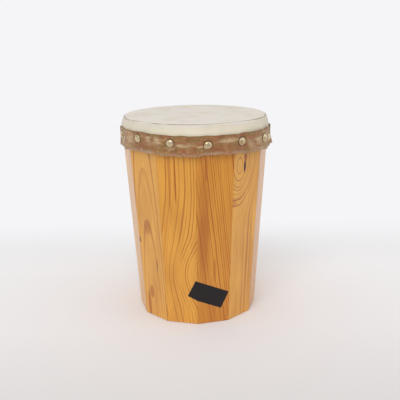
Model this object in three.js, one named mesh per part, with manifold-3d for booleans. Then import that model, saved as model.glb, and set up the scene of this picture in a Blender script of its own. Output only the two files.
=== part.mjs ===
// A small open-bottomed hand drum: flat mitred staves glued into a tapering tub, a rawhide head
// folded over the rim, and a suede band held round it by dome-headed upholstery nails.
// Millimetres, +Z up. The origin is the middle of the foot, on the floor, and -Y is the front.
// Angles run round the drum from the front towards +X.

import * as THREE from 'three';
import { mergeVertices } from 'three/addons/utils/BufferGeometryUtils.js';
import Module from 'manifold-3d';

const wasm = await Module();
wasm.setup();

const DEGREE = Math.PI / 180;

// Shell of staves.
const STAVE_COUNT = 12;
const SHELL_HEIGHT = 279.7;
const FOOT_RADIUS = 84.9; // out to the glued joints, on the floor
const MOUTH_RADIUS = 103.7; // the same at the rim, before the rim is rasped round
const WALL = 12;
const GLUE_LINE = 0.2;
const ARRIS = 0.7; // softening of each stave's outer long edges
const FOOT_CHAMFER = 1;

// Rim, its corners rasped off to a leaning shoulder that the wet hide folds over.
const CORNERS_RASPED = 1.7; // taken off the joints below the shoulder
const RIM_INSET = 4.9; // from the mouth's joints in to where the shoulder meets the top rounding
const SHOULDER_LEAN = 17 * DEGREE;
const EDGE_ROUND = 2.2;
const BEARING_WIDTH = 3; // flat part of the rim that the hide is stretched over
const INNER_CHAMFER = 30 * DEGREE;
const RIM_FACETS_PER_STAVE = 8;
const EDGE_FACETS = 3;
const LEAN_FACETS = 3;

// Rawhide head.
const SKIN = 0.8;
const SKIN_CLEARANCE = 0.35;
const COLLAR_DEPTH = 38; // how far the folded-down hide reaches below the rim
const DRAWN_IN_SHARE = 0.45; // how far the hide follows the flats: 0 stays round, 1 lies flat

// Suede band.
const HIDE = 1.2;
const HIDE_CLEARANCE = 0.35;
const BAND_DROP = 12; // from the rim down to the band's upper edge
const BAND_WIDTH = 26.5;
const BAND_STEPS_PER_STAVE = 10;
const INNER_END = 54 * DEGREE; // where the strip starts
const LAP = 21 * DEGREE; // the outer end runs this far past the inner one
const CLIMB = 15 * DEGREE; // the strip rises over its own inner end in this turn
const BELLY = 0.7; // slack of the strip midway between two nails
const LIP_BEND = 14; // height of the lower edge that curls away from the shell
const LIP_AT_NAIL = 0.8;
const LIP_BETWEEN_NAILS = 3.6;
const LIP_POWER = 1.6;
const END_CURL = 0.8; // extra curl of the outer end's lower corner
const END_CURL_TURN = 15 * DEGREE;
const EDGE_WAVE = 0.9; // ragged cut of both long edges
const EDGE_WAVES = 17;
const BAND_ROWS = [1, 0.9, 0.55, 0.36, 0.2, 0.08, 0]; // shares of the width, top to bottom
// The strip was cut by eye: millimetres up at even steps along each long edge, from its start.
const UPPER_EDGE = [-2, -1, -0.8, 0.3, -0.2, 0.5, -0.1, 0.6, 0.8, 0.6, -1, -1.1, -1, -1.2];
const LOWER_EDGE = [-2, -0.3, 0.8, 0.2, 0.8, 0, 0.6, 1, 1.4, 1.6, -0.7, 0.9, -1.3, -2.4];

// Upholstery nails.
const NAIL_COUNT = 14;
const NAIL_DROP = 23.2; // from the rim down to the row of nails
const FIRST_NAIL = -17 * DEGREE;
const NAIL_HEAD_RADIUS = 5.5;
const NAIL_DOME = 2.7;
const NAIL_SHEET = 0.8;
const NAIL_SHANK_RADIUS = 0.9;
const NAIL_POINT = 3;
const NAIL_LENGTH = 13;
const NAIL_HOLE_CLEARANCE = 0.25;
const NAIL_SEAT_CLEARANCE = 0.15;
const NAIL_SIDES = 12;
const NAIL_HOLE_SIDES = 6;
const NAIL_DOME_FACETS = 3;
// The nails were driven by eye: degrees round the band, and millimetres up, one for each nail, and
// how loosely the strip hangs from each nail to the next, as a share of the belly and the lip. The
// fifth nail is an extra one that holds the strip's outer end.
const NAIL_DRIFT = [-1.2, 0, 0.8, -0.1, -15.4, -10.6, -9.6, -8.7, -5.7, -6.8, -5.8, -4.9, -4, -3.8];
const NAIL_RISE = [0.5, -1.8, -0.3, -1.3, -3.6, -0.8, 1.1, 0.2, -1.2, 0.6, 1.4, -0.5, 2, 3.2];
const NAIL_SLACK = [1, 0.9, 0.7, 0.5, 1.3, 0.8, 1.1, 0.7, 1, 1.2, 0.8, 0.35, 0.6, 0.9];

// Label tape, bare, stuck aslant over the front joint near the foot.
const TAPE = 0.3;
const TAPE_CLEARANCE = 0.1;
const TAPE_LENGTH = 50;
const TAPE_WIDTH = 26;
const TAPE_SLANT = 25 * DEGREE;
const TAPE_HEIGHT = 43.7; // middle of the tape, above the floor
const TAPE_ASIDE = 14.7; // and to the right of the joint

const STAVE_ANGLE = (2 * Math.PI) / STAVE_COUNT;
const HALF_STAVE = STAVE_ANGLE / 2;
const NAIL_SPACING = (2 * Math.PI) / NAIL_COUNT;
const SHAVED_RADIUS = MOUTH_RADIUS - CORNERS_RASPED;
const RIM_RADIUS = MOUTH_RADIUS - RIM_INSET;
const FACE_LEAN = Math.atan(((MOUTH_RADIUS - FOOT_RADIUS) * Math.cos(HALF_STAVE)) / SHELL_HEIGHT);

const pine = new THREE.MeshStandardMaterial({ color: 0xd59f58, roughness: 0.35, metalness: 0 });
const rawhide = new THREE.MeshStandardMaterial({ color: 0xe2dacd, roughness: 0.6, metalness: 0 });
const suede = new THREE.MeshStandardMaterial({ color: 0x9b7350, roughness: 0.9, metalness: 0 });
const brass = new THREE.MeshStandardMaterial({ color: 0xcdb98c, roughness: 0.25, metalness: 1 });
const vinyl = new THREE.MeshStandardMaterial({ color: 0x1d1a1c, roughness: 0.4, metalness: 0 });

// Closed bodies and their cuts.

// Merges the shared corners of a closed surface and drops the slivers left where it meets an axis.
function closedSurface(geometry) {
  const bare = geometry.clone();
  bare.deleteAttribute('normal');
  bare.deleteAttribute('uv');
  const merged = mergeVertices(bare, 1e-4);
  const kept = [];
  for (let i = 0; i < merged.index.count; i += 3) {
    const [a, b, c] = [0, 1, 2].map((corner) => merged.index.getX(i + corner));
    if (a !== b && b !== c && c !== a) kept.push(a, b, c);
  }
  merged.setIndex(kept);
  return merged;
}

function toSolid(geometry) {
  const surface = closedSurface(geometry);
  return new wasm.Manifold(new wasm.Mesh({
    numProp: 3,
    vertProperties: new Float32Array(surface.attributes.position.array),
    triVerts: new Uint32Array(surface.index.array),
  }));
}

function toGeometry(solid) {
  const { vertProperties, triVerts } = solid.getMesh();
  const geometry = new THREE.BufferGeometry();
  geometry.setAttribute('position', new THREE.BufferAttribute(vertProperties, 3));
  geometry.setIndex(new THREE.BufferAttribute(triVerts, 1));
  return geometry;
}

// Turns an outline of [radius, height] points, counterclockwise from the axis, about +Z.
function spin(outline, sides) {
  const points = outline.map(([radius, height]) => new THREE.Vector2(radius, height));
  return new THREE.LatheGeometry(points, sides).rotateX(Math.PI / 2);
}

// Joins a row of outlines with the same number of corners into one body, closed at both ends.
function loft(outlines) {
  const corners = outlines[0].length;
  const last = (outlines.length - 1) * corners;
  const triangles = [];
  for (let start = 0; start < last; start += corners) {
    for (let j = 0; j < corners; j++) {
      const a = start + j;
      const b = start + ((j + 1) % corners);
      triangles.push(a, b, b + corners, a, b + corners, a + corners);
    }
  }
  for (let j = 0; j < corners / 2 - 1; j++) {
    const [a, b, c, d] = [j, j + 1, corners - 2 - j, corners - 1 - j];
    triangles.push(c, b, a, d, c, a);
    triangles.push(last + a, last + b, last + c, last + a, last + c, last + d);
  }
  const geometry = new THREE.BufferGeometry();
  geometry.setAttribute('position', new THREE.Float32BufferAttribute(outlines.flat(2), 3));
  geometry.setIndex(triangles);
  return geometry;
}

// Surfaces that the pieces share.

// Radius of the glued joints at a height: the shell tapers evenly from rim to foot.
function jointRadius(height) {
  return FOOT_RADIUS + ((MOUTH_RADIUS - FOOT_RADIUS) * height) / SHELL_HEIGHT;
}

// Distance from the axis to the middle of a stave's outer face.
function faceDistance(height) {
  return jointRadius(height) * Math.cos(HALF_STAVE);
}

// The rasped rim, from the shaved shoulder over the edge to the flat top, moved out by an offset
// so that the hide can follow the wood.
function rimOutline(offset) {
  const centreRadius = RIM_RADIUS - EDGE_ROUND * Math.cos(SHOULDER_LEAN);
  const centreHeight = SHELL_HEIGHT - EDGE_ROUND;
  const edge = [];
  for (let i = 0; i <= EDGE_FACETS; i++) {
    const turn = THREE.MathUtils.lerp(SHOULDER_LEAN, Math.PI / 2, i / EDGE_FACETS);
    edge.push([
      centreRadius + (EDGE_ROUND + offset) * Math.cos(turn),
      centreHeight + (EDGE_ROUND + offset) * Math.sin(turn),
    ]);
  }
  const shoulder = SHAVED_RADIUS + offset;
  const [leanRadius, leanHeight] = edge[0];
  const shoulderHeight = leanHeight - (shoulder - leanRadius) / Math.tan(SHOULDER_LEAN);
  const lean = [];
  for (let i = 0; i < LEAN_FACETS; i++) {
    const climbed = i / LEAN_FACETS;
    lean.push([
      THREE.MathUtils.lerp(shoulder, leanRadius, climbed),
      THREE.MathUtils.lerp(shoulderHeight, leanHeight, climbed),
    ]);
  }
  return [...lean, ...edge];
}

const SHOULDER_HEIGHT = rimOutline(0)[0][1];

// Height below which the rasp didn't reach the joints.
const SHAVED_DOWN_TO = (SHELL_HEIGHT * (SHAVED_RADIUS - FOOT_RADIUS)) / (MOUTH_RADIUS - FOOT_RADIUS);

// Radius of the wood at a joint, rasped or not, at a height below the edge.
function shoulderRadius(height) {
  const rasped = SHAVED_RADIUS - Math.max(0, height - SHOULDER_HEIGHT) * Math.tan(SHOULDER_LEAN);
  return Math.min(jointRadius(height), rasped);
}

// How far hide stretched round the rim sinks towards the flats between two joints.
function hideDip(angle, height) {
  const fromMiddle = THREE.MathUtils.euclideanModulo(angle, STAVE_ANGLE) - HALF_STAVE;
  const flat = faceDistance(height) / Math.cos(fromMiddle);
  return DRAWN_IN_SHARE * Math.max(0, shoulderRadius(height) - flat);
}

// Staves.

function staveOutline(height, inset) {
  const face = faceDistance(height) - inset;
  const inner = faceDistance(height) - WALL / Math.cos(FACE_LEAN);
  const halfWidth = (depth) => depth * Math.tan(HALF_STAVE) - GLUE_LINE / 2 / Math.cos(HALF_STAVE);
  const shoulder = face - ARRIS * Math.sin(HALF_STAVE);
  return [
    [-halfWidth(face) + ARRIS, -face, height],
    [halfWidth(face) - ARRIS, -face, height],
    [halfWidth(shoulder), -shoulder, height],
    [halfWidth(inner), -inner, height],
    [-halfWidth(inner), -inner, height],
    [-halfWidth(shoulder), -shoulder, height],
  ];
}

// One board with its edges mitred towards the axis, standing with its face to the front.
function staveBoard() {
  return toSolid(loft([
    staveOutline(0, FOOT_CHAMFER),
    staveOutline(FOOT_CHAMFER, 0),
    staveOutline(SHELL_HEIGHT + EDGE_ROUND, 0),
  ]));
}

// Everything that the rasp leaves standing, turned so that a joint lies at the front.
function raspedEnvelope() {
  const beyond = 2 * MOUTH_RADIUS;
  const untouched = SHELL_HEIGHT / 2;
  const rim = rimOutline(0);
  const bearing = rim.at(-1)[0] - BEARING_WIDTH;
  return toSolid(spin([
    [0, -1],
    [beyond, -1],
    [beyond, untouched],
    [SHAVED_RADIUS, untouched],
    ...rim,
    [bearing, SHELL_HEIGHT],
    [0, SHELL_HEIGHT - bearing * Math.tan(INNER_CHAMFER)],
  ], STAVE_COUNT * RIM_FACETS_PER_STAVE));
}

// Rawhide head.

// A disc with its rim folded down; the fold and collar sink a little towards the flats.
function drumhead() {
  const collarEnd = SHELL_HEIGHT - COLLAR_DEPTH;
  const face = (offset) => [
    [shoulderRadius(collarEnd) + offset, collarEnd],
    [SHAVED_RADIUS + offset, SHAVED_DOWN_TO],
    ...rimOutline(offset),
  ];
  const underside = face(SKIN_CLEARANCE).reverse();
  const outside = face(SKIN_CLEARANCE + SKIN);
  const skin = spin([
    [0, underside[0][1]],
    ...underside,
    ...outside,
    [0, outside.at(-1)[1]],
  ], STAVE_COUNT * RIM_FACETS_PER_STAVE);
  const position = skin.attributes.position;
  for (let i = 0; i < position.count; i++) {
    const [x, y, z] = [position.getX(i), position.getY(i), position.getZ(i)];
    const radius = Math.hypot(x, y);
    if (radius === 0) continue;
    const drawn = (radius - hideDip(Math.atan2(x, -y), z)) / radius;
    position.setXY(i, x * drawn, y * drawn);
  }
  return toSolid(skin);
}

// Nails' places round the band.

function nailAngle(i) {
  return FIRST_NAIL + i * NAIL_SPACING + NAIL_DRIFT[i % NAIL_DRIFT.length] * DEGREE;
}

function nailHeight(i) {
  return SHELL_HEIGHT - NAIL_DROP + NAIL_RISE[i % NAIL_RISE.length];
}

// How loosely the strip hangs at an angle: 0 at a nail, and most midway between two neighbours.
function slackAt(angle) {
  const turn = 2 * Math.PI;
  const passed = Array.from({ length: NAIL_COUNT }, (_, i) => (
    THREE.MathUtils.euclideanModulo(angle - nailAngle(i), turn)
  ));
  const since = Math.min(...passed);
  const gap = since + turn - Math.max(...passed);
  const share = NAIL_SLACK[passed.indexOf(since) % NAIL_SLACK.length];
  return share * Math.sin((Math.PI * since) / gap) ** 2;
}

// Suede band.

const BAND_STEP = STAVE_ANGLE / BAND_STEPS_PER_STAVE;
const BAND_START = BAND_STEP * Math.round(INNER_END / BAND_STEP);
const BAND_STEPS = Math.round((2 * Math.PI + LAP) / BAND_STEP);
const BAND_END = BAND_START + BAND_STEPS * BAND_STEP;

// A value from a list of even steps along the strip, eased from each to the next.
function alongStrip(values, angle) {
  const steps = values.length - 1;
  const share = THREE.MathUtils.clamp((angle - BAND_START) / (BAND_END - BAND_START), 0, 1);
  const step = Math.min(Math.floor(share * steps), steps - 1);
  const eased = THREE.MathUtils.smoothstep(share * steps, step, step + 1);
  return THREE.MathUtils.lerp(values[step], values[step + 1], eased);
}

function raggedEdge(angle) {
  return -EDGE_WAVE * (0.6 * Math.cos(EDGE_WAVES * angle) + 0.4 * Math.cos(1.7 * EDGE_WAVES * angle));
}

function upperEdge(angle) {
  return SHELL_HEIGHT - BAND_DROP + alongStrip(UPPER_EDGE, angle) + 0.5 * raggedEdge(1.3 * angle);
}

function lowerEdge(angle) {
  const straight = SHELL_HEIGHT - BAND_DROP - BAND_WIDTH;
  return straight + alongStrip(LOWER_EDGE, angle) + raggedEdge(angle);
}

// Radius of the strip's inner surface. The strip runs once round and on over its own inner end,
// so its angle counts on past a full turn.
function bandRadius(angle, height) {
  const { smoothstep } = THREE.MathUtils;
  const slack = slackAt(angle);
  const bend = THREE.MathUtils.clamp((lowerEdge(angle) + LIP_BEND - height) / LIP_BEND, 0, 1) ** LIP_POWER;
  const overlapStart = BAND_START + 2 * Math.PI - BAND_STEP;
  const climbed = smoothstep(angle, overlapStart - CLIMB, overlapStart);
  const curled = smoothstep(angle, BAND_END - END_CURL_TURN, BAND_END + STAVE_ANGLE);
  const lip = THREE.MathUtils.lerp(LIP_AT_NAIL, LIP_BETWEEN_NAILS, slack) + END_CURL * curled;
  return shoulderRadius(height) - hideDip(angle, height)
    + SKIN_CLEARANCE + SKIN + HIDE_CLEARANCE
    + BELLY * slack + lip * bend
    + climbed * (HIDE + HIDE_CLEARANCE);
}

function bandSection(angle) {
  const point = (share, thickness) => {
    const height = THREE.MathUtils.lerp(lowerEdge(angle), upperEdge(angle), share);
    const radius = bandRadius(angle, height) + thickness;
    return [radius * Math.sin(angle), -radius * Math.cos(angle), height];
  };
  return [
    ...BAND_ROWS.map((share) => point(share, HIDE)),
    ...BAND_ROWS.toReversed().map((share) => point(share, 0)),
  ];
}

function band() {
  const sections = [];
  for (let i = 0; i <= BAND_STEPS; i++) sections.push(bandSection(BAND_START + i * BAND_STEP));
  return toSolid(loft(sections));
}

// The band's outermost surface at a place, which is the outer layer where the ends lap.
function bandOutside(angle, height) {
  const turns = Math.floor((BAND_END - angle) / (2 * Math.PI));
  return bandRadius(angle + turns * 2 * Math.PI, height) + HIDE;
}

// Upholstery nails.

// A pressed cap, hollow beneath, on a pointed shank. Its origin is the middle of the cap's rim
// and +Z is outward.
function nail() {
  const ballRadius = (NAIL_HEAD_RADIUS ** 2 + NAIL_DOME ** 2) / (2 * NAIL_DOME);
  const ballCentre = NAIL_DOME - ballRadius;
  const arc = (radius, fromRadius, toRadius) => {
    const points = [];
    for (let i = 0; i <= NAIL_DOME_FACETS; i++) {
      const across = THREE.MathUtils.lerp(fromRadius, toRadius, i / NAIL_DOME_FACETS);
      points.push([across, ballCentre + Math.sqrt(radius ** 2 - across ** 2)]);
    }
    return points;
  };
  const hollowRadius = ballRadius - NAIL_SHEET;
  const hollowRim = Math.sqrt(hollowRadius ** 2 - ballCentre ** 2);
  return spin([
    [0, -NAIL_LENGTH],
    [NAIL_SHANK_RADIUS, NAIL_POINT - NAIL_LENGTH],
    ...arc(hollowRadius, NAIL_SHANK_RADIUS, hollowRim),
    ...arc(ballRadius, NAIL_HEAD_RADIUS, 0),
  ], NAIL_SIDES);
}

// A nail points at the drum's axis and stands square to the taper. This gives its angle, and its
// place as seen with that angle turned to the front.
function nailPlace(i) {
  const turned = nailAngle(i);
  const height = nailHeight(i);
  const outward = new THREE.Vector3(0, -Math.cos(FACE_LEAN), -Math.sin(FACE_LEAN));
  const upward = new THREE.Vector3(0, -Math.sin(FACE_LEAN), Math.cos(FACE_LEAN));
  const onFace = new THREE.Vector3(0, -faceDistance(height), height);
  let seat = 0;
  for (let k = 0; k < NAIL_SIDES; k++) {
    const around = (2 * Math.PI * k) / NAIL_SIDES;
    const rim = onFace.clone().addScaledVector(upward, NAIL_HEAD_RADIUS * Math.sin(around));
    rim.x += NAIL_HEAD_RADIUS * Math.cos(around);
    let stand = 0;
    for (let pass = 0; pass < 4; pass++) {
      const { x, y, z } = rim.clone().addScaledVector(outward, stand);
      stand += bandOutside(turned + Math.atan2(x, -y), z) - Math.hypot(x, y);
    }
    seat = Math.max(seat, stand);
  }
  return {
    turned,
    position: onFace.addScaledVector(outward, seat + NAIL_SEAT_CLEARANCE),
    tilt: Math.PI / 2 + FACE_LEAN,
  };
}

function nailHole(place) {
  const radius = NAIL_SHANK_RADIUS + NAIL_HOLE_CLEARANCE;
  const depth = NAIL_LENGTH + NAIL_HOLE_CLEARANCE;
  const above = 2 * NAIL_DOME;
  const hole = spin([[0, -depth], [radius, -depth], [radius, above], [0, above]], NAIL_HOLE_SIDES);
  hole.rotateX(place.tilt);
  hole.translate(...place.position);
  hole.rotateZ(place.turned);
  return toSolid(hole);
}

// Label tape: a thin coat over the shell, cut to a slanting strip.
function labelTape() {
  const coated = (offset) => {
    const reach = (height) => jointRadius(height) + offset / Math.cos(HALF_STAVE);
    const top = SHELL_HEIGHT / 2;
    return toSolid(spin([[0, 0], [reach(0), 0], [reach(top), top], [0, top]], STAVE_COUNT));
  };
  const strip = new THREE.BoxGeometry(TAPE_LENGTH, FOOT_RADIUS, TAPE_WIDTH);
  strip.rotateY(TAPE_SLANT);
  strip.translate(TAPE_ASIDE, -FOOT_RADIUS, TAPE_HEIGHT);
  return coated(TAPE_CLEARANCE + TAPE).subtract(coated(TAPE_CLEARANCE)).intersect(toSolid(strip));
}

// Assembly.

const numbered = (name, i) => `${name}_${String(i + 1).padStart(2, '0')}`;

const drum = new THREE.Group();

function addPiece(name, geometry, material, parent = drum) {
  const piece = new THREE.Mesh(geometry, material);
  piece.name = name;
  parent.add(piece);
  return piece;
}

const places = Array.from({ length: NAIL_COUNT }, (_, i) => nailPlace(i));
const holes = places.map(nailHole);
const cutHoles = (solid) => holes.reduce((left, hole) => left.subtract(hole), solid);

const envelope = raspedEnvelope();
const board = staveBoard();
for (let i = 0; i < STAVE_COUNT; i++) {
  const turned = (i + 0.5) * STAVE_ANGLE;
  const standing = board.rotate([0, 0, turned / DEGREE]).intersect(envelope);
  const stave = addPiece(numbered('stave', i), toGeometry(cutHoles(standing)), pine);
  stave.geometry.rotateZ(-turned);
  stave.rotation.z = turned;
}

addPiece('drumhead', toGeometry(cutHoles(drumhead())), rawhide);
addPiece('band', toGeometry(cutHoles(band())), suede);
addPiece('label_tape', toGeometry(labelTape()), vinyl);

places.forEach((place, i) => {
  const holder = new THREE.Group();
  holder.rotation.z = place.turned;
  drum.add(holder);
  const driven = addPiece(numbered('nail', i), closedSurface(nail()), brass, holder);
  driven.position.copy(place.position);
  driven.rotation.x = place.tilt;
});

export default drum;
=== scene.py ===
"""A small stave hand drum: flat pine staves glued into a tapering tub, a rawhide head folded over
the rim, and a suede band held round it by dome-headed nails. Metres, +Z up, -Y the front, and
angles run round the drum from the front towards +X."""

from math import atan, atan2, cos, degrees, floor, hypot, pi, radians, sin, sqrt, tan

import bmesh
import bpy
from mathutils import Euler, Matrix, Vector, noise


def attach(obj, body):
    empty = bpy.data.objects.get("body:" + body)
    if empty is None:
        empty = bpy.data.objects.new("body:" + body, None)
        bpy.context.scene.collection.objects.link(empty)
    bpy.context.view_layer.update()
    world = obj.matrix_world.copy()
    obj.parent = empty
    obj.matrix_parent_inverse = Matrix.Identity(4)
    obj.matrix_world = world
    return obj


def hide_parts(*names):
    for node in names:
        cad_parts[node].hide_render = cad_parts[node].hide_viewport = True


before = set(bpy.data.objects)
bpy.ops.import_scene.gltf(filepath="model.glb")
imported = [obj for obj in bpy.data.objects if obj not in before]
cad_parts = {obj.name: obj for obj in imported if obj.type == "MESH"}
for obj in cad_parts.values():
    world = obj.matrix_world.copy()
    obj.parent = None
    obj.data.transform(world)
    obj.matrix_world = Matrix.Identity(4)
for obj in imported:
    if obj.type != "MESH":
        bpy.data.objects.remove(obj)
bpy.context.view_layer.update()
MM = 0.001


# Studio. Pale paper on a table, light from all round and a broad soft box high in front, as for a
# shop's picture. The camera stands in front of the drum and looks a little down on it.

def srgb(red, green, blue):
    """A colour as the eye reads it, 0 to 255, in the linear light that the nodes use."""
    def linear(value):
        value /= 255
        return value / 12.92 if value <= 0.04045 else ((value + 0.055) / 1.055) ** 2.4
    return linear(red), linear(green), linear(blue), 1.0


def new_finish(name):
    """A material with its shader ready, and a function that adds a node to it."""
    material = bpy.data.materials.new(name)
    material.use_nodes = True
    tree = material.node_tree

    def add(kind, inputs=None, **settings):
        made = tree.nodes.new("ShaderNode" + kind)
        for setting, value in settings.items():
            setattr(made, setting, value)
        for socket, value in (inputs or {}).items():
            if isinstance(value, bpy.types.NodeSocket):
                tree.links.new(value, made.inputs[socket])
            else:
                made.inputs[socket].default_value = value
        return made

    return material, tree.nodes["Principled BSDF"], add


def connect(material, source, target):
    material.node_tree.links.new(source, target)


def shades(add, factor, *stops):
    """Colours along a factor, each stop a place from 0 to 1 and a colour."""
    ramp = add("ValToRGB", {"Fac": factor})
    elements = ramp.color_ramp.elements
    while len(elements) < len(stops):
        elements.new(0.5)
    for element, (place, colour) in zip(elements, stops):
        element.position = place
        element.color = colour
    return ramp.outputs["Color"]


def blend(add, factor, first, second):
    """Two colours mixed by a factor."""
    return add("Mix", {0: factor, 6: first, 7: second}, data_type="RGBA").outputs[2]


def remap(add, value, low, high, to_low=0.0, to_high=1.0, way="SMOOTHSTEP"):
    """A value stretched from one range to another, and held at its ends."""
    ranges = {0: value, 1: low, 2: high, 3: to_low, 4: to_high}
    return add("MapRange", ranges, interpolation_type=way).outputs[0]


def calculate(add, operation, first, second=0.0, third=0.0):
    """One step of arithmetic on numbers that vary over a surface."""
    return add("Math", {0: first, 1: second, 2: third}, operation=operation).outputs[0]


def finished(mesh_name, bm, material):
    """An object from a finished bmesh, smooth, with its faces pointing outwards."""
    bmesh.ops.recalc_face_normals(bm, faces=bm.faces)
    mesh = bpy.data.meshes.new(mesh_name)
    bm.to_mesh(mesh)
    bm.free()
    mesh.materials.append(material)
    for polygon in mesh.polygons:
        polygon.use_smooth = True
    made = bpy.data.objects.new(mesh_name, mesh)
    bpy.context.collection.objects.link(made)
    return made


PAPER_FAR = srgb(245, 245, 247)

paper, shader, add = new_finish("paper")
place = add("TexCoord").outputs["Object"]
back = add("SeparateXYZ", {0: place}).outputs["Y"]
# Painted shade and light: the paper is darkened towards the front and lightened towards the back,
# standing in for the way the soft boxes light it.
colour = shades(add, remap(add, back, -0.5, 0.3, way="LINEAR"),
                (0.0, srgb(206, 202, 199)), (0.5, srgb(242, 240, 241)),
                (0.8, srgb(250, 249, 250)), (1.0, PAPER_FAR))
connect(paper, colour, shader.inputs["Base Color"])
shader.inputs["Roughness"].default_value = 0.9
shader.inputs["Specular IOR Level"].default_value = 0.1
# Far back the paper fades into the backdrop, for the eye only.
lost = add("Emission", {"Color": PAPER_FAR, "Strength": 1.0}).outputs[0]
rays = add("LightPath").outputs
looked_at = calculate(add, "MAXIMUM", rays["Is Camera Ray"], rays["Is Glossy Ray"])
faded = calculate(add, "MULTIPLY", looked_at, remap(add, back, 0.16, 0.42))
fade = add("MixShader", {0: faded, 1: shader.outputs[0], 2: lost})
connect(paper, fade.outputs[0], paper.node_tree.nodes["Material Output"].inputs["Surface"])

bm = bmesh.new()
bmesh.ops.create_circle(bm, cap_ends=True, segments=96, radius=5)
floor_paper = finished("floor_paper", bm, paper)

world = bpy.data.worlds.new("studio")
bpy.context.scene.world = world
world.use_nodes = True
air = world.node_tree
lit = air.nodes["Background"]
lit.inputs["Color"].default_value = (1, 1, 1, 1)
lit.inputs["Strength"].default_value = 0.74


def air_node(kind, *links):
    """A node of the world, with each of its links given as a socket's number and its source."""
    made = air.nodes.new("ShaderNode" + kind)
    for socket, source in links:
        air.links.new(source, made.inputs[socket])
    return made


direction = air_node("SeparateXYZ", (0, air_node("TexCoord").outputs["Generated"])).outputs
# Bright metal and varnish mirror the paper behind the drum and the dimmer room behind the camera.
room = air_node("MapRange", (0, direction["Y"]))
for socket, value in enumerate((-0.75, 0.2, 0.42, 1.0), start=1):
    room.inputs[socket].default_value = value
mirrored = air_node("Background", ("Strength", room.outputs[0]))
mirrored.inputs["Color"].default_value = PAPER_FAR
seen = air_node("Background")
seen.inputs["Color"].default_value = PAPER_FAR
rays = air_node("LightPath").outputs
unlooked = air_node("MixShader", (0, rays["Is Glossy Ray"]),
                    (1, lit.outputs[0]), (2, mirrored.outputs[0]))
shown = air_node("MixShader", (0, rays["Is Camera Ray"]),
                 (1, unlooked.outputs[0]), (2, seen.outputs[0]))
air.links.new(shown.outputs[0], air.nodes["World Output"].inputs["Surface"])


MIDDLE = Vector((0, 0, 0.14))


def soft_box(name, place, size, power):
    """A square lamp that faces the middle of the drum."""
    lamp = bpy.data.lights.new(name, "AREA")
    lamp.size = size
    lamp.energy = power
    made = bpy.data.objects.new(name, lamp)
    made.location = place
    made.rotation_euler = (MIDDLE - Vector(place)).to_track_quat("-Z", "Y").to_euler()
    bpy.context.collection.objects.link(made)


soft_box("front_box", (-0.35, -1.5, 1.7), 1.2, 13.9)
soft_box("side_box", (1.5, -0.6, 1.2), 1.0, 1.5)

# Place, turns and lens were solved from the stave joints and the foot in the photo.
camera = bpy.data.objects.new("camera", bpy.data.cameras.new("camera"))
camera.data.lens = 59.36
camera.matrix_world = (
    Matrix.Translation((0.0003, -0.9214, 0.4080))
    @ Matrix.Rotation(-0.0056, 4, "Z")
    @ Matrix.Rotation(pi / 2 - 0.2676, 4, "X")
    @ Matrix.Rotation(-0.014, 4, "Z")
)
bpy.context.collection.objects.link(camera)
bpy.context.scene.camera = camera
bpy.context.scene.view_settings.view_transform = "Standard"


# Staves. Twelve flat softwood boards with mitred edges, glued edge to edge, tapering to the foot.
# They are plain-sawn pine under clear varnish, and each shows another cut of the tree. The boards
# keep their solids; a board's figure is the rings of its tree, cut by its own face.

STAVE_COUNT = 12
STAVE_ANGLE = 2 * pi / STAVE_COUNT
SHELL_HEIGHT = 279.7
FOOT_RADIUS = 84.9
MOUTH_RADIUS = 103.7
FACE_LEAN = atan((MOUTH_RADIUS - FOOT_RADIUS) * cos(STAVE_ANGLE / 2) / SHELL_HEIGHT)


def face_distance(height):
    """From the drum's axis to the middle of a board's face, at a height, in millimetres."""
    joint = FOOT_RADIUS + (MOUTH_RADIUS - FOOT_RADIUS) * height / SHELL_HEIGHT
    return joint * cos(STAVE_ANGLE / 2)


def laid(add, vector, place=(0, 0, 0), turn=(0, 0, 0), size=(1, 1, 1)):
    """Coordinates counted from a place, turned, and in units of a size."""
    inputs = {"Vector": vector, "Location": place, "Rotation": turn, "Scale": size}
    return add("Mapping", inputs, vector_type="TEXTURE").outputs[0]


def speckle(add, vector, scale, detail=2.0, roughness=0.5):
    """Soft random spots, finer with a larger scale."""
    inputs = {"Vector": vector, "Scale": scale, "Detail": detail, "Roughness": roughness}
    return add("TexNoise", inputs).outputs["Fac"]


def patch(add, board, x, z, half_width, half_height):
    """1 in the middle of an oval on a board's face, easing to 0 at its edge."""
    oval = laid(add, board, (x, 0, z), size=(half_width, half_width, half_height))
    across = add("VectorMath", {0: oval}, operation="LENGTH").outputs["Value"]
    return remap(add, across, 0.0, 1.0, 1.0, 0.0)


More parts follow.
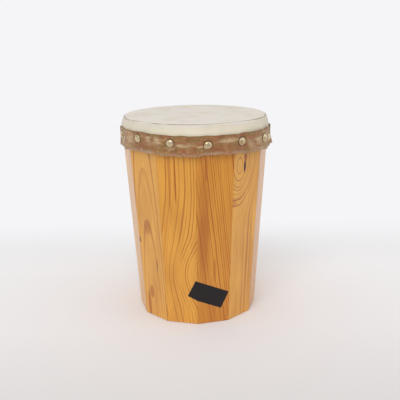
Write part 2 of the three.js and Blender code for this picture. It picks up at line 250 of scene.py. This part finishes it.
def pine(name, stave, heart, ring, early, late, tilt=0.0, lean=0.0, blunt=2, wobble=1.4,
         contrast=1.0, uneven=1.3, first_year=40, summer_share=0.45,
         swirls=(), calm=(), streaks=()):
    """Pine on one board. Lengths are in millimetres on its face: x to the right, z up from the
    floor, y into the wood. heart is where the tree's heart lies, x and depth, and tilt and lean
    how it slopes in y and in x. ring is the width of a year, blunt rounds the arches, wobble and
    uneven are how much they wander and vary, in years, first_year picks which years were strong
    ones, and summer_share is the dark part of a year. A swirl bends the rings round a knot, calm
    wood shows them less, and a streak is pitch."""
    turned = (stave - 0.5) * STAVE_ANGLE
    foot = face_distance(0) * MM
    material, shader, add = new_finish(name)
    board = laid(add, add("TexCoord").outputs["Object"],
                 place=(foot * sin(turned), -foot * cos(turned), 0),
                 turn=(FACE_LEAN, 0, turned), size=(MM, MM, MM))

    # Years counted out from the tree's heart.
    tree = laid(add, board, (*heart, 0), (tilt, lean, 0))
    sides = add("SeparateXYZ", {0: tree}).outputs[:2]
    powers = [calculate(add, "POWER", calculate(add, "ABSOLUTE", side), blunt) for side in sides]
    reach = calculate(add, "POWER", calculate(add, "ADD", *powers), 1 / blunt)
    rings = calculate(add, "MULTIPLY_ADD", reach, 1 / ring, first_year)
    wander = laid(add, board, (31 * stave, 0, 170 * stave), size=(30, 30, 150))
    rings = calculate(add, "MULTIPLY_ADD", speckle(add, wander, 1.0, 3.0, 0.45), wobble, rings)
    for x, z, half_width, half_height, bend in swirls:
        bent = patch(add, board, x, z, half_width, half_height)
        rings = calculate(add, "MULTIPLY_ADD", bent, bend, rings)
    spread = add("TexNoise", {"W": rings, "Scale": 0.8, "Detail": 1.0}, noise_dimensions="1D")
    rings = calculate(add, "MULTIPLY_ADD", spread.outputs["Fac"], uneven, rings)

    # Each year pales from its dark, narrow late wood to its light early wood.
    year = calculate(add, "FLOOR", rings)
    season = calculate(add, "FRACT", rings)
    vigour = add("TexWhiteNoise", {"W": year}, noise_dimensions="1D").outputs["Value"]
    summer = remap(add, season, 0.95 - summer_share, 0.94, 0.0, 1.0)
    summer = calculate(add, "MULTIPLY", summer, remap(add, season, 0.95, 1.0, 1.0, 0.0))
    summer = calculate(add, "MULTIPLY", summer, remap(add, vigour, 0.2, 1.0, 0.15, 1.0, "LINEAR"))
    for x, z, half_width, half_height, strength in calm:
        quiet = patch(add, board, x, z, half_width, half_height)
        kept = calculate(add, "MULTIPLY_ADD", quiet, -strength, 1)
        summer = calculate(add, "MULTIPLY", summer, kept)

    fibre = speckle(add, laid(add, board, size=(0.8, 0.8, 40)), 1.0, roughness=0.6)
    cloud = speckle(add, wander, 1.7)
    colour = blend(add, calculate(add, "MULTIPLY", summer, contrast), early, late)
    colour = blend(add, remap(add, cloud, 0.35, 0.7, 0.0, 0.22), colour, late)
    colour = blend(add, remap(add, fibre, 0.35, 0.75, 0.0, 0.25), colour, late)
    for x, z, half_width, half_height, strength, tint in streaks:
        mask = patch(add, board, x, z, half_width, half_height)
        ragged = calculate(add, "MULTIPLY", mask, remap(add, fibre, 0.2, 0.6, 0.7, 1.2))
        colour = blend(add, remap(add, ragged, 0.1, 0.6, 0.0, strength), colour, tint)
    connect(material, colour, shader.inputs["Base Color"])

    grain_depth = calculate(add, "MULTIPLY_ADD", summer, -0.5, fibre)
    bump = add("Bump", {"Height": grain_depth, "Strength": 0.12, "Distance": 0.0003})
    connect(material, bump.outputs[0], shader.inputs["Normal"])
    connect(material, remap(add, fibre, 0.3, 0.7, 0.38, 0.5), shader.inputs["Roughness"])
    shader.inputs["Coat Weight"].default_value = 0.6
    shader.inputs["Coat Roughness"].default_value = 0.2
    shader.inputs["Coat IOR"].default_value = 1.5
    shader.inputs["Specular IOR Level"].default_value = 0.35
    return material


HONEY = srgb(240, 172, 64)
STRAW = srgb(237, 175, 74)
AMBER = srgb(224, 154, 48)
RUST = srgb(168, 78, 4)
OCHRE = srgb(158, 74, 2)
PITCH = srgb(72, 4, 0)
PLUM = srgb(138, 80, 60)

BOARDS = {
    1: dict(heart=(-70, 24), lean=-0.13, ring=2.9, early=AMBER, late=RUST, contrast=1.3, wobble=2.2,
            summer_share=0.36, calm=[(8, 215, 10, 50, 0.4)],
            streaks=[(-15, 148, 12, 110, 0.31, RUST), (-12, 222, 3, 26, 0.5, RUST),
                     (1, 78, 3, 28, 0.4, RUST), (-14, 110, 13, 90, 0.3, RUST),
                     (0, 0, 34, 75, 0.25, RUST)]),
    2: dict(heart=(-15, 85.6), ring=2.2, early=STRAW, late=OCHRE, wobble=1.0, contrast=0.9,
            calm=[(-18, 142, 20, 26, 0.9), (16, 225, 12, 20, 0.4)],
            swirls=[(-14, 217, 20, 38, -3.1), (-20, 235, 80, 92, -7.5)],
            streaks=[(-4.5, 221, 3.6, 14, 1.0, PITCH), (-4, 233, 5, 8, 0.9, RUST),
                     (-22, 172, 9, 8, 0.4, RUST), (20, 60, 5, 90, 0.3, RUST),
                     (4, 40, 1.4, 70, 0.4, OCHRE), (9, 70, 1.6, 120, 0.5, RUST),
                     (15, 80, 1.8, 130, 0.5, RUST)]),
    3: dict(heart=(20, 40), tilt=0.03, ring=3.2, early=AMBER, late=OCHRE),
    4: dict(heart=(-50, 30), tilt=-0.04, ring=3.0, early=HONEY, late=OCHRE),
    5: dict(heart=(5, 18), tilt=0.06, ring=3.8, blunt=4, wobble=0.6, early=STRAW, late=RUST),
    6: dict(heart=(60, 22), lean=0.05, ring=2.8, early=HONEY, late=RUST),
    7: dict(heart=(-10, 36), tilt=-0.05, ring=3.6, early=AMBER, late=RUST),
    8: dict(heart=(-70, 30), lean=-0.06, ring=2.9, early=STRAW, late=OCHRE),
    9: dict(heart=(12, 60), ring=2.7, early=HONEY, late=RUST, swirls=[(-8, 150, 55, 60, -4.5)]),
    10: dict(heart=(35, 38), tilt=-0.03, ring=3.1, early=STRAW, late=OCHRE),
    11: dict(heart=(-4, 11.4), tilt=-0.054, ring=4.0, blunt=2.7, wobble=0.4, uneven=0,
             first_year=44, early=STRAW, late=OCHRE, contrast=1.1, summer_share=0.3,
             calm=[(-4, 204, 10, 20, 0.8), (-4, 64, 11, 20, 1.0), (-4, 140, 9, 14, 0.3)],
             streaks=[(9.5, 81, 1.8, 16, 0.8, PLUM), (-22, 113, 3, 7, 0.9, PLUM),
                      (-6, 38, 7, 15, 0.6, RUST), (-13, 16, 5, 36, 0.7, RUST),
                      (1, 18, 3, 30, 0.25, RUST), (-4, 136, 10, 18, 0.3, OCHRE)]),
    12: dict(heart=(-105, 18), ring=3.7, early=HONEY, late=OCHRE, wobble=1.0, summer_share=0.38,
             swirls=[(-15, 65, 70, 150, 4.7), (30, 75, 60, 62, 3.9)],
             calm=[(-3, 84, 10, 60, 0.9), (8, 20, 14, 34, 0.7)],
             streaks=[(-10.5, 208, 1.8, 70, 0.5, RUST), (-2.5, 212, 1.8, 60, 0.9, RUST)]),
}


def dress(name, material):
    """Put a material on a CAD node that keeps its solid."""
    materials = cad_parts[name].data.materials
    materials.clear()
    materials.append(material)


for number, cut in BOARDS.items():
    dress(f"stave_{number:02d}", pine(f"pine_{number:02d}", number, **cut))


# Glue lines. The boards were painted with hide glue on their mitred edges and clamped, and what was
# not squeezed out dried as a thin amber film in each of the twelve joints, from rim to foot.

WALL = 12
FILM = 0.19
FILM_ENDS = (1.0, 270.0)
BELOW_THE_ARRIS = (1.2, 2.2)  # in from the joint's outer edge, at the foot and at the rim

bm = bmesh.new()
for joint in range(STAVE_COUNT):
    for v in bmesh.ops.create_cube(bm, size=1)["verts"]:
        end = v.co.z > 0
        depth = face_distance(FILM_ENDS[end])
        outer = depth / cos(STAVE_ANGLE / 2) - BELOW_THE_ARRIS[end]
        inner = (depth - WALL) / cos(STAVE_ANGLE / 2) + BELOW_THE_ARRIS[0]
        spot = Vector((v.co.x * FILM, -outer if v.co.y < 0 else -inner, FILM_ENDS[end])) * MM
        v.co = Matrix.Rotation(joint * STAVE_ANGLE, 3, "Z") @ spot

glue, shader, add = new_finish("hide_glue")
drops = speckle(add, add("TexCoord").outputs["Object"], 90)
connect(glue, blend(add, drops, srgb(128, 76, 26), srgb(158, 98, 38)), shader.inputs["Base Color"])
shader.inputs["Roughness"].default_value = 0.45
glue_lines = finished("glue_lines", bm, glue)
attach(glue_lines, "root")


# Label tape. A bare strip of black vinyl tape, stuck aslant over the joint at the front. It is thin
# and lies flat on both faces, with a soft plastic sheen.

vinyl, shader, add = new_finish("vinyl")
film = speckle(add, add("TexCoord").outputs["Object"], 260)
connect(vinyl, blend(add, film, srgb(27, 23, 25), srgb(33, 29, 31)), shader.inputs["Base Color"])
bump = add("Bump", {"Height": film, "Strength": 0.1, "Distance": 0.0003})
connect(vinyl, bump.outputs[0], shader.inputs["Normal"])
shader.inputs["Roughness"].default_value = 0.42
shader.inputs["Specular IOR Level"].default_value = 0.3
dress("label_tape", vinyl)


# Rawhide head. One wet goatskin, stretched over the rasped rim, folded down outside it and dried
# hard and taut. It is cream with a faint mottle, and sinks a little towards the staves' flats.

SHAVED_RADIUS = MOUTH_RADIUS - 1.7
RIM_RADIUS = MOUTH_RADIUS - 4.9
SHOULDER_LEAN = radians(17)
EDGE_ROUND = 2.2
SKIN = 0.8
SKIN_CLEARANCE = 0.35
COLLAR_END = 241.7
DRAWN_IN = 0.45
RIM_STEPS = 288
FOLD_HEIGHT = 279.5  # where the outside of the skin has turned in over the rim
CREASE_RADIUS = 98.4
# The crease pressed into the fold wanders: degrees round, half width, and millimetres outwards.
CREASE_WANDERS = [(-44, 14, -1.2), (30, 26, -1.4), (-64, 18, 0.7), (66, 16, 0.7)]

EDGE_CENTRE = (RIM_RADIUS - EDGE_ROUND * cos(SHOULDER_LEAN), SHELL_HEIGHT - EDGE_ROUND)
SHOULDER_HEIGHT = (EDGE_CENTRE[1] + EDGE_ROUND * sin(SHOULDER_LEAN)
                   - (SHAVED_RADIUS - RIM_RADIUS) / tan(SHOULDER_LEAN))


def shoulder_radius(height):
    """Radius of the wood at a joint, rasped or not, below its edge."""
    rasped = SHAVED_RADIUS - max(0, height - SHOULDER_HEIGHT) * tan(SHOULDER_LEAN)
    return min(face_distance(height) / cos(STAVE_ANGLE / 2), rasped)


def hide_dip(angle, height):
    """How far a hide round the rim sinks towards the flats between two joints."""
    from_middle = angle % STAVE_ANGLE - STAVE_ANGLE / 2
    return DRAWN_IN * max(0, shoulder_radius(height) - face_distance(height) / cos(from_middle))


def over_the_edge(offset, steps):
    """The turned-over edge of the hide, from its top to its collar, as radius and height."""
    turns = [pi / 2 + (SHOULDER_LEAN - pi / 2) * i / steps for i in range(steps + 1)]
    reach = EDGE_ROUND + offset
    edge = [(EDGE_CENTRE[0] + reach * cos(t), EDGE_CENTRE[1] + reach * sin(t)) for t in turns]
    radius, height = edge[-1]
    shoulder = SHAVED_RADIUS + offset
    drop = (shoulder - radius) / tan(SHOULDER_LEAN)
    lean = [(radius + (shoulder - radius) * i / 4, height - drop * i / 4) for i in range(1, 5)]
    return edge + lean


def spun(outline, steps):
    """A bmesh turned round the Z axis from an outline of radii and heights."""
    bm = bmesh.new()
    points = [bm.verts.new((0, -radius, height)) for radius, height in outline]
    edges = [bm.edges.new(pair) for pair in zip(points, points[1:])]
    bmesh.ops.spin(bm, geom=points + edges, cent=(0, 0, 0), axis=(0, 0, 1), angle=2 * pi,
                   steps=steps, use_merge=True)
    bmesh.ops.remove_doubles(bm, verts=bm.verts, dist=0.001)
    return bm


top = [(EDGE_CENTRE[0] * i / 10, SHELL_HEIGHT + SKIN_CLEARANCE + SKIN) for i in range(10)]
levels = [COLLAR_END + rise for rise in (20, 14, 8, 0)]
collar = [(shoulder_radius(z) + SKIN_CLEARANCE + SKIN, z) for z in levels]
lining = [(shoulder_radius(z) + SKIN_CLEARANCE, z) for z in levels[::-1]]
under = [(EDGE_CENTRE[0] * i / 10, SHELL_HEIGHT + SKIN_CLEARANCE) for i in range(9, -1, -1)]
skin_outline = (
    top + over_the_edge(SKIN_CLEARANCE + SKIN, 7) + collar
    + lining + over_the_edge(SKIN_CLEARANCE, 5)[::-1] + under
)

bm = spun(skin_outline, RIM_STEPS)
for v in bm.verts:
    radius = hypot(v.co.x, v.co.y)
    if radius > 1:
        dip = hide_dip(atan2(v.co.x, -v.co.y), v.co.z)
        v.co.xy *= (radius - dip) / radius
bm.transform(Matrix.Scale(MM, 4))

rawhide, shader, add = new_finish("rawhide")
place = add("TexCoord").outputs["Object"]
mottle = speckle(add, place, 38, 4.0, 0.6)
patches = speckle(add, place, 14, 3.0)
pores = speckle(add, place, 900)
flattened = add("VectorMath", {0: place, 1: (1, 1, 0)}, operation="MULTIPLY").outputs[0]
out = add("VectorMath", {0: flattened}, operation="LENGTH").outputs["Value"]
broken = speckle(add, flattened, 70)
x, y, up = add("SeparateXYZ", {0: place}).outputs
turn = calculate(add, "ARCTAN2", x, calculate(add, "MULTIPLY", y, -1))
spot = add("CombineXYZ", {"X": calculate(add, "MULTIPLY", turn, 180 / pi)}).outputs[0]
off_crease = calculate(add, "ADD", out, -CREASE_RADIUS * MM)
for middle, half_width, outwards in CREASE_WANDERS:
    wandered = patch(add, spot, middle, 0, half_width, 1)
    off_crease = calculate(add, "MULTIPLY_ADD", wandered, -outwards * MM, off_crease)
# A thin darker line is painted along the crease: painted shade of the crease, with some dirt.
crease_shade_and_dirt = remap(add, calculate(add, "ABSOLUTE", off_crease), 0.2 * MM, MM, 1.0, 0.0)
on_fold = remap(add, up, (FOLD_HEIGHT - 0.5) * MM, FOLD_HEIGHT * MM)
crease_shade_and_dirt = calculate(add, "MULTIPLY", crease_shade_and_dirt, on_fold)
crease_shade_and_dirt = calculate(add, "MULTIPLY", crease_shade_and_dirt, remap(add, broken, 0.3, 0.62, 0.35, 1.0))
colour = blend(add, remap(add, patches, 0.35, 0.65), srgb(223, 217, 204), srgb(226, 215, 206))
collar_share = remap(add, up, (FOLD_HEIGHT - 7) * MM, FOLD_HEIGHT * MM, 0.6, 0.0)
colour = blend(add, collar_share, colour, srgb(228, 219, 190))
colour = blend(add, remap(add, mottle, 0.42, 0.74, 0.0, 0.6), colour, srgb(209, 199, 174))
# Painted light: the collar's front, which faces the front soft box, is lightened a little.
low_share = remap(add, up, (FOLD_HEIGHT - 9.5) * MM, (FOLD_HEIGHT - 0.5) * MM, 0.6, 0.0)
painted_front_light = calculate(add, "MULTIPLY", patch(add, spot, 0, 0, 50, 1), low_share)
colour = blend(add, painted_front_light, colour, srgb(240, 232, 210))
colour = blend(add, crease_shade_and_dirt, colour, srgb(150, 138, 108))
connect(rawhide, colour, shader.inputs["Base Color"])
connect(rawhide, remap(add, mottle, 0.3, 0.7, 0.45, 0.62), shader.inputs["Roughness"])
surface = calculate(add, "MULTIPLY_ADD", pores, 0.3, mottle)
bump = add("Bump", {"Height": surface, "Strength": 0.25, "Distance": 0.0004})
connect(rawhide, bump.outputs[0], shader.inputs["Normal"])
shader.inputs["Subsurface Weight"].default_value = 0.15
shader.inputs["Subsurface Radius"].default_value = (0.004, 0.0025, 0.0015)
shader.inputs["Specular IOR Level"].default_value = 0.35

head = finished("rawhide_head", bm, rawhide)
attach(head, "root")
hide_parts("drumhead")


# Nail places. The maker drove the nails by eye, a little off an even spacing and off one level, and
# the strip hangs more or less loosely from each to the next. The fifth holds the strip's outer end.
# Below, drift is in degrees, rise in millimetres, and slack a share of the usual.

NAIL_COUNT = 14
FIRST_NAIL = radians(-17)
NAIL_HEIGHT = SHELL_HEIGHT - 23.2
NAIL_DRIFT = [-1.2, 0, 0.8, -0.1, -15.4, -10.6, -9.6, -8.7, -5.7, -6.8, -5.8, -4.9, -4, -3.8]
NAIL_RISE = [0.5, -1.8, -0.3, -1.3, -3.6, -0.8, 1.1, 0.2, -1.2, 0.6, 1.4, -0.5, 2, 3.2]
NAIL_SLACK = [1, 0.9, 0.7, 0.5, 1.3, 0.8, 1.1, 0.7, 1, 1.2, 0.8, 0.35, 0.6, 0.9]
NAIL_HEAD_RADIUS = 5.5
nail_angles = [FIRST_NAIL + 2 * pi * i / NAIL_COUNT + radians(drift)
               for i, drift in enumerate(NAIL_DRIFT)]
nail_heights = [NAIL_HEIGHT + rise for rise in NAIL_RISE]


def slack_at(angle):
    """How loosely the strip hangs: 0 at a nail, and most midway between two neighbours."""
    passed = [(angle - nail) % (2 * pi) for nail in nail_angles]
    since = min(passed)
    gap = since + 2 * pi - max(passed)
    return NAIL_SLACK[passed.index(since)] * sin(pi * since / gap) ** 2


# Suede band. A strip cut by eye from a soft brown split hide, wound once round the collar and over
# its own start. The nails pinch it, so that it bellies between them and its raw lip curls out.

STRIP_SIZE = (0.695, 0.0275)  # as cut, in metres
STRIP_STEPS = (1000, 34)
HIDE = 1.2
HIDE_CLEARANCE = 0.35
BAND_TOP = SHELL_HEIGHT - 12
BAND_WIDTH = 26.5
BAND_START = radians(54)
BAND_TURN = radians(381)
BAND_END = BAND_START + BAND_TURN
CLIMB = radians(15)
CLIMBED = BAND_START + radians(357)
BELLY = 0.7
LIP_BEND = 14
LIP_AT_NAIL = 0.8
LIP_BETWEEN_NAILS = 3.6
LIP_POWER = 1.6
END_CURL = 0.8
END_CURL_TURN = radians(15)
EDGE_WAVE = 0.9
EDGE_WAVES = 17
FRAY = 0.55
CRUMPLE = 0.3
LIP_FOLD = 0.35
PUCKER = 0.22
NAIL_DINT = 0.3
OFF_THE_COLLAR = 0.25
UPPER_EDGE = [-2, -3.4, -2, -0.5, -0.2, 0.3, -1.2, -4.2, 0.4, 0.6, -1, -1.1, -1, -1.2]
LOWER_EDGE = [-2, -0.6, 0.4, 0.2, 0.8, 0, 0.2, -0.6, 0.8, 1.6, -0.7, 0.9, -1.3, -2.4]


def smoothstep(value, low, high):
    share = min(1, max(0, (value - low) / (high - low)))
    return share * share * (3 - 2 * share)


def along_strip(values, angle):
    """A value from a list of even steps along the strip, eased from each to the next."""
    share = min(1, max(0, (angle - BAND_START) / BAND_TURN)) * (len(values) - 1)
    step = min(floor(share), len(values) - 2)
    return values[step] + (values[step + 1] - values[step]) * smoothstep(share, step, step + 1)


def ragged_edge(angle):
    return -EDGE_WAVE * (0.6 * cos(EDGE_WAVES * angle) + 0.4 * cos(1.7 * EDGE_WAVES * angle))


def upper_edge(angle):
    return BAND_TOP + along_strip(UPPER_EDGE, angle) + 0.5 * ragged_edge(1.3 * angle)


def lower_edge(angle):
    return BAND_TOP - BAND_WIDTH + along_strip(LOWER_EDGE, angle) + ragged_edge(angle)


def band_radius(angle, height):
    """Radius of the strip's inner face. Its angle counts on past a full turn where it laps."""
    slack = slack_at(angle)
    bend = min(1, max(0, (lower_edge(angle) + LIP_BEND - height) / LIP_BEND)) ** LIP_POWER
    climbed = smoothstep(angle, CLIMBED - CLIMB, CLIMBED)
    curled = smoothstep(angle, BAND_END - END_CURL_TURN, BAND_END + STAVE_ANGLE)
    lip = LIP_AT_NAIL + (LIP_BETWEEN_NAILS - LIP_AT_NAIL) * slack + END_CURL * curled
    return (
        shoulder_radius(height) - hide_dip(angle, height) + SKIN_CLEARANCE + SKIN + HIDE_CLEARANCE
        + BELLY * slack + lip * bend + climbed * (HIDE + HIDE_CLEARANCE)
    )


def from_nail(angle, height, radius):
    """Millimetres from the rim of the nearest nail's cap, negative beneath it."""
    gaps = []
    for nail, level in zip(nail_angles, nail_heights):
        aside = (angle - nail + pi) % (2 * pi) - pi
        gaps.append(hypot(aside * radius, height - level))
    return min(gaps) - NAIL_HEAD_RADIUS


def near(value, middle, reach):
    """1 at a middle, falling evenly to 0 at a reach either side."""
    return max(0, 1 - abs(value - middle) / reach)


bm = bmesh.new()
bm.loops.layers.uv.verify()
nail_shade_and_dirt = bm.verts.layers.float.new("nail_shade_and_dirt")
bmesh.ops.create_grid(bm, x_segments=STRIP_STEPS[0], y_segments=STRIP_STEPS[1], size=0.5,
                      calc_uvs=True)
for v in bm.verts:
    angle = BAND_START + BAND_TURN * (v.co.x + 0.5)
    share = v.co.y + 0.5
    fray = noise.noise(Vector((angle * 60, 0, 5))) + 0.6 * noise.noise(Vector((angle * 170, 0, 9)))
    height = lower_edge(angle) + (upper_edge(angle) - lower_edge(angle)) * share
    height += FRAY * fray * (1 - smoothstep(share, 0, 0.25) + 0.4 * smoothstep(share, 0.85, 1))
    slack = slack_at(angle)
    crumple = CRUMPLE * noise.noise(Vector((angle * 14, height * 0.12, 1))) * slack
    fold = LIP_FOLD * noise.noise(Vector((angle * 34, height * 0.05, 3)))
    fold *= 1 - smoothstep(share, 0.1, 0.5)
    radius = band_radius(angle, height)
    rim = from_nail(angle, height, radius)
    # Small puckers ray out round each nail's cap, which sinks in a little.
    around = atan2(height - NAIL_HEIGHT, radius * sin(angle * NAIL_COUNT / 2))
    pucker = PUCKER * cos(5 * around) * near(rim, 2, 2)
    sunk = NAIL_DINT * near(rim, 0, 1.6)
    # This layer marks a thin ring round each cap's rim, where the suede is darkened: painted shade
    # of the cap's edge, with some dirt.
    v[nail_shade_and_dirt] = near(rim, 0.2, 1.5)
    radius += crumple + fold + OFF_THE_COLLAR + pucker - sunk
    v.co = Vector((radius * sin(angle), -radius * cos(angle), height)) * MM

suede, shader, add = new_finish("suede")
flat = add("TexCoord").outputs["UV"]
strip = add("Mapping", {"Vector": flat, "Scale": (*STRIP_SIZE, 1)}).outputs[0]
along, height_up, _ = add("SeparateXYZ", {0: flat}).outputs
turn = calculate(add, "MULTIPLY_ADD", along, degrees(BAND_TURN), degrees(BAND_START))
rise = calculate(add, "MULTIPLY", height_up, STRIP_SIZE[1] / MM)
spot = add("CombineXYZ", {"X": turn, "Z": rise}).outputs[0]
nap = speckle(add, strip, 420, 5.0, 0.65)
blotches = speckle(add, strip, 110, 4.0, 0.65)
# The hide was wiped and stained aslant.
slant = add("Mapping", {"Vector": strip, "Rotation": (0, 0, radians(14)), "Scale": (70, 170, 1)})
slant = slant.outputs[0]
wipes = add("TexNoise", {"Vector": slant, "Scale": 1.0, "Detail": 4.0, "Distortion": 0.5})
wipes = wipes.outputs["Fac"]
stains = add("TexNoise", {"Vector": slant, "Scale": 1.1, "Detail": 2.0}).outputs["Color"]
reddened, olive, _ = add("SeparateXYZ", {0: stains}).outputs
colour = blend(add, remap(add, blotches, 0.36, 0.64), srgb(142, 100, 64), srgb(176, 134, 92))
colour = blend(add, remap(add, reddened, 0.49, 0.62, 0.0, 0.8), colour, srgb(166, 104, 74))
colour = blend(add, remap(add, olive, 0.49, 0.62, 0.0, 0.7), colour, srgb(148, 120, 72))
# The places rubbed pale and those worn reddish: degrees, millimetres up the strip, half width,
# half height and strength. The strip's degrees count on from its start, so its front is at 360.
PALE = [(332, 17, 6, 13, 1.0), (325, 19, 5, 8, 1.0), (384, 20, 12, 8, 0.8), (413, 15, 9, 12, 0.8),
        (352, 14.5, 12, 5, 1.2), (363, 13, 5, 3, 0.9), (305, 16, 9, 18, 0.6), (290, 14, 9, 16, 1.2),
        (343, 11, 6, 5, 0.6), (428, 16, 9, 12, 0.8), (298, 15, 20, 30, 0.3),
        (424, 15, 16, 26, 0.65), (404, 13, 8, 18, 0.4)]
REDDISH = [(320, 9, 10, 10, 0.7), (376, 8, 14, 9, 0.7), (394, 8, 9, 10, 0.6), (395, 22, 4, 6, 0.6),
           (354, 3, 16, 8, 0.8)]
for x, z, half_width, half_height, strength in REDDISH:
    worn = calculate(add, "MULTIPLY", patch(add, spot, x, z, half_width, half_height), strength)
    colour = blend(add, worn, colour, srgb(156, 98, 66))
for x, z, half_width, half_height, strength in PALE:
    rubbed = patch(add, spot, x, z, half_width, half_height)
    rubbed = calculate(add, "MULTIPLY", rubbed, remap(add, wipes, 0.3, 0.68, 0.35, 1.15))
    colour = blend(add, remap(add, rubbed, 0.05, 0.95, 0.0, strength), colour, srgb(214, 188, 148))
colour = blend(add, remap(add, wipes, 0.5, 0.78, 0.0, 0.6), colour, srgb(206, 178, 138))
colour = blend(add, remap(add, nap, 0.38, 0.68, 0.0, 0.35), colour, srgb(112, 78, 46))
raw = remap(add, calculate(add, "MULTIPLY_ADD", blotches, 0.5, height_up), 0.24, 0.43, 0.85, 0.0)
torn = calculate(add, "MULTIPLY", raw, remap(add, nap, 0.4, 0.6, 0.25, 1.0))
colour = blend(add, torn, colour, srgb(188, 162, 138))
# Painted shade: the strip is darkened along its top edge, where it meets the collar.
colour = blend(add, remap(add, height_up, 0.93, 0.99, 0.0, 0.4), colour, srgb(110, 84, 50))
# Painted shade with some dirt: a dark ring on the suede round each nail's cap.
nail_ring_shade_and_dirt = add("Attribute", attribute_name="nail_shade_and_dirt").outputs["Fac"]
colour = blend(add, remap(add, nail_ring_shade_and_dirt, 0.1, 0.9, 0.0, 0.75), colour, srgb(86, 60, 34))
connect(suede, colour, shader.inputs["Base Color"])
bump = add("Bump", {"Height": nap, "Strength": 0.6, "Distance": 0.0007})
connect(suede, bump.outputs[0], shader.inputs["Normal"])
shader.inputs["Roughness"].default_value = 0.95
shader.inputs["Specular IOR Level"].default_value = 0.15
shader.inputs["Sheen Weight"].default_value = 0.25
shader.inputs["Sheen Roughness"].default_value = 0.5

band = finished("suede_band", bm, suede)
thick = band.modifiers.new("hide", "SOLIDIFY")
thick.thickness = HIDE * MM
thick.offset = 1
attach(band, "root")
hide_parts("band")


# Upholstery nails. Fourteen pressed brass caps on steel shanks, hammered home through the suede
# and the hide into the staves, pointing at the drum's axis. The hammer has left small dents.

NAIL_DOME = 2.7
NAIL_SHEET = 0.8
NAIL_SHANK_RADIUS = 0.9
NAIL_POINT = 3
NAIL_LENGTH = 13
CAP_EDGE = (NAIL_HEAD_RADIUS + 0.05, 0.1)
NAIL_STEPS = 40
HAMMERED = 0.35

brass, shader, add = new_finish("brass")
place = add("TexCoord").outputs["Object"]
worn = speckle(add, place, 420, 4.0)
tarnish = remap(add, speckle(add, place, 160), 0.38, 0.68, 0.0, 0.8)
colour = blend(add, tarnish, srgb(229, 211, 178), srgb(190, 160, 112))
colour = blend(add, remap(add, worn, 0.58, 0.75, 0.0, 0.5), colour, srgb(120, 98, 66))
connect(brass, colour, shader.inputs["Base Color"])
connect(brass, remap(add, worn, 0.3, 0.7, 0.28, 0.45), shader.inputs["Roughness"])
shader.inputs["Metallic"].default_value = 1.0

ball = (NAIL_HEAD_RADIUS ** 2 + NAIL_DOME ** 2) / (2 * NAIL_DOME)


def dome_arc(radius, outer, steps):
    """A slice of the cap, from its axis out to its rim, as radius and height."""
    places = [outer * i / steps for i in range(steps + 1)]
    return [(across, NAIL_DOME - ball + sqrt(radius ** 2 - across ** 2)) for across in places]


hollow = ball - NAIL_SHEET
hollow_rim = sqrt(hollow ** 2 - (NAIL_DOME - ball) ** 2)
underside = [p for p in dome_arc(hollow, hollow_rim, 8) if p[0] > NAIL_SHANK_RADIUS]
nail_outline = (
    [(0, -NAIL_LENGTH), (NAIL_SHANK_RADIUS, NAIL_POINT - NAIL_LENGTH),
     (NAIL_SHANK_RADIUS, NAIL_DOME - ball + sqrt(hollow ** 2 - NAIL_SHANK_RADIUS ** 2))]
    + underside + [CAP_EDGE] + dome_arc(ball, NAIL_HEAD_RADIUS, 12)[::-1][1:]
)

for i in range(NAIL_COUNT):
    name = f"nail_{i + 1:02d}"
    turned = nail_angles[i]
    outward = Matrix.Rotation(turned, 3, "Z") @ Vector((0, -cos(FACE_LEAN), -sin(FACE_LEAN)))
    apex = max((v.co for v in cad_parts[name].data.vertices), key=lambda co: co.dot(outward))
    bm = spun(nail_outline, NAIL_STEPS)
    for v in bm.verts:
        if v.co.z > 0.3:
            knock = noise.noise(v.co * 0.35 + Vector((7.3 * i, 0, 0)))
            v.co.z += min(0, HAMMERED * knock)
    bm.transform(Matrix.Translation(apex - outward * NAIL_DOME * MM)
                 @ Euler((pi / 2 + FACE_LEAN, 0, turned)).to_matrix().to_4x4()
                 @ Matrix.Scale(MM, 4))
    nail = finished(f"driven_{name}", bm, brass)
    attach(nail, "root")
    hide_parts(name)
